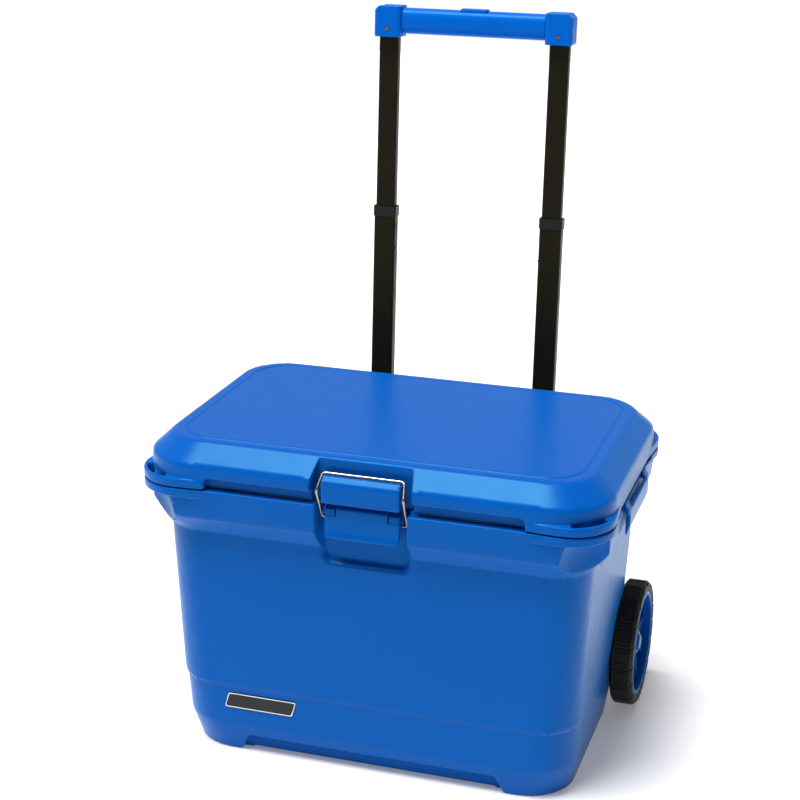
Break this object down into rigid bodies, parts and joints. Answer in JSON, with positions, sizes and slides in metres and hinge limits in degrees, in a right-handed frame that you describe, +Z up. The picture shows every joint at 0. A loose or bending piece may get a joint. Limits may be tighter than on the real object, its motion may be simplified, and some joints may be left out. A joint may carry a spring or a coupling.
{
  "type": "wheeled cooler box",
  "caption": "Hard insulated cooler box with hinged lid, front lever latch, side carry handles, telescopic pull handle, drain plug and rear wheels.",
  "frame": {"origin": "on the ground, under the middle of the whole object's box", "axes": "+X to the right seen from the latch side, +Y to the back where the wheels and the pull handle are, +Z up"},
  "size_m": [0.6504, 0.5326, 0.9878],
  "materials": {
    "body_blue": "satin",
    "grip_blue": "satin",
    "black_plastic": "satin",
    "tube_black": "satin",
    "liner_white": "satin",
    "foam": "matte",
    "rubber": "matte",
    "steel": "satin",
    "badge": "satin",
    "tyre": "matte"
  },
  "bodies": {
    "tub": {"tub_shell": "body_blue", "tub_liner": "liner_white", "tub_foam": "foam", "drain_sleeve": "black_plastic", "front_badge": "badge", "lid_hinge_pins": "steel", "latch_pins": "steel", "carry_pins": "steel", "handle_housing": "body_blue", "housing_screws": "steel", "axle": "steel", "axle_spacers": "black_plastic"},
    "lid": {"lid_shell": "body_blue", "lid_liner": "liner_white", "lid_foam": "foam", "lid_gasket": "rubber"},
    "lever": {"latch_lever": "body_blue"},
    "bushes": {"latch_bushes": "black_plastic"},
    "wire": {"latch_wire": "steel"},
    "right_handle": {"carry_handle_right": "body_blue"},
    "left_handle": {"carry_handle_left": "body_blue"},
    "outer_stage": {"outer_tube_right": "tube_black", "outer_tube_left": "tube_black", "tube_collar_right": "black_plastic", "tube_collar_left": "black_plastic", "tube_bridge": "black_plastic", "tube_stops": "steel"},
    "grip_stage": {"inner_tube_right": "tube_black", "inner_tube_left": "tube_black", "grip_bar": "grip_blue", "grip_cap_right": "grip_blue", "grip_cap_left": "grip_blue", "grip_screws": "steel"},
    "button": {"release_button": "grip_blue"},
    "right_wheel": {"wheel_rim_right": "body_blue", "tyre_right": "tyre", "wheel_cap_right": "body_blue"},
    "left_wheel": {"wheel_rim_left": "body_blue", "tyre_left": "tyre", "wheel_cap_left": "body_blue"},
    "plug": {"drain_plug": "black_plastic"}
  },
  "joints": [
    {"name": "lid_hinge", "type": "hinge", "parent": "tub", "child": "lid", "pos_m": [0, 0.15008, 0.417], "axis": [-1, 0, 0], "range_deg": [0, 90]},
    {"name": "lever_hinge", "type": "hinge", "parent": "tub", "child": "lever", "pos_m": [0, -0.24592, 0.392], "axis": [-1, 0, 0], "range_deg": [0, 105]},
    {"name": "bush_turn", "type": "hinge", "parent": "lever", "child": "bushes", "pos_m": [0, -0.24192, 0.383], "axis": [-1, 0, 0], "range_deg": [-95, 0]},
    {"name": "wire_hinge", "type": "hinge", "parent": "bushes", "child": "wire", "pos_m": [0, -0.24192, 0.383], "axis": [1, 0, 0], "range_deg": [0, 110]},
    {"name": "right_handle_hinge", "type": "hinge", "parent": "tub", "child": "right_handle", "pos_m": [0.315, -0.04992, 0.3992], "axis": [0, -1, 0], "range_deg": [0, 80]},
    {"name": "left_handle_hinge", "type": "hinge", "parent": "tub", "child": "left_handle", "pos_m": [-0.315, -0.04992, 0.3992], "axis": [0, 1, 0], "range_deg": [0, 80]},
    {"name": "outer_stage_slide", "type": "slide", "parent": "tub", "child": "outer_stage", "axis": [0, 0.0379, 0.9993], "range_m": [-0.2795, 0]},
    {"name": "grip_stage_slide", "type": "slide", "parent": "outer_stage", "child": "grip_stage", "axis": [0, 0.0379, 0.9993], "range_m": [-0.2495, 0]},
    {"name": "button_press", "type": "slide", "parent": "grip_stage", "child": "button", "axis": [0, 0.0379, 0.9993], "range_m": [-0.0022, 0], "stiffness_N_per_m": 300},
    {"name": "right_wheel_spin", "type": "hinge", "parent": "tub", "child": "right_wheel", "pos_m": [0.3, 0.12108, 0.092], "axis": [1, 0, 0], "continuous": true},
    {"name": "left_wheel_spin", "type": "hinge", "parent": "tub", "child": "left_wheel", "pos_m": [-0.3, 0.12108, 0.092], "axis": [1, 0, 0], "continuous": true},
    {"name": "plug_turn", "type": "hinge", "parent": "tub", "child": "plug", "pos_m": [-0.28, -0.10992, 0.066], "axis": [-1, 0, 0], "range_deg": [0, 90]}
  ],
  "couplings": [
    {"joint": "bush_turn", "follows": "lever_hinge", "ratio": -0.87}
  ]
}
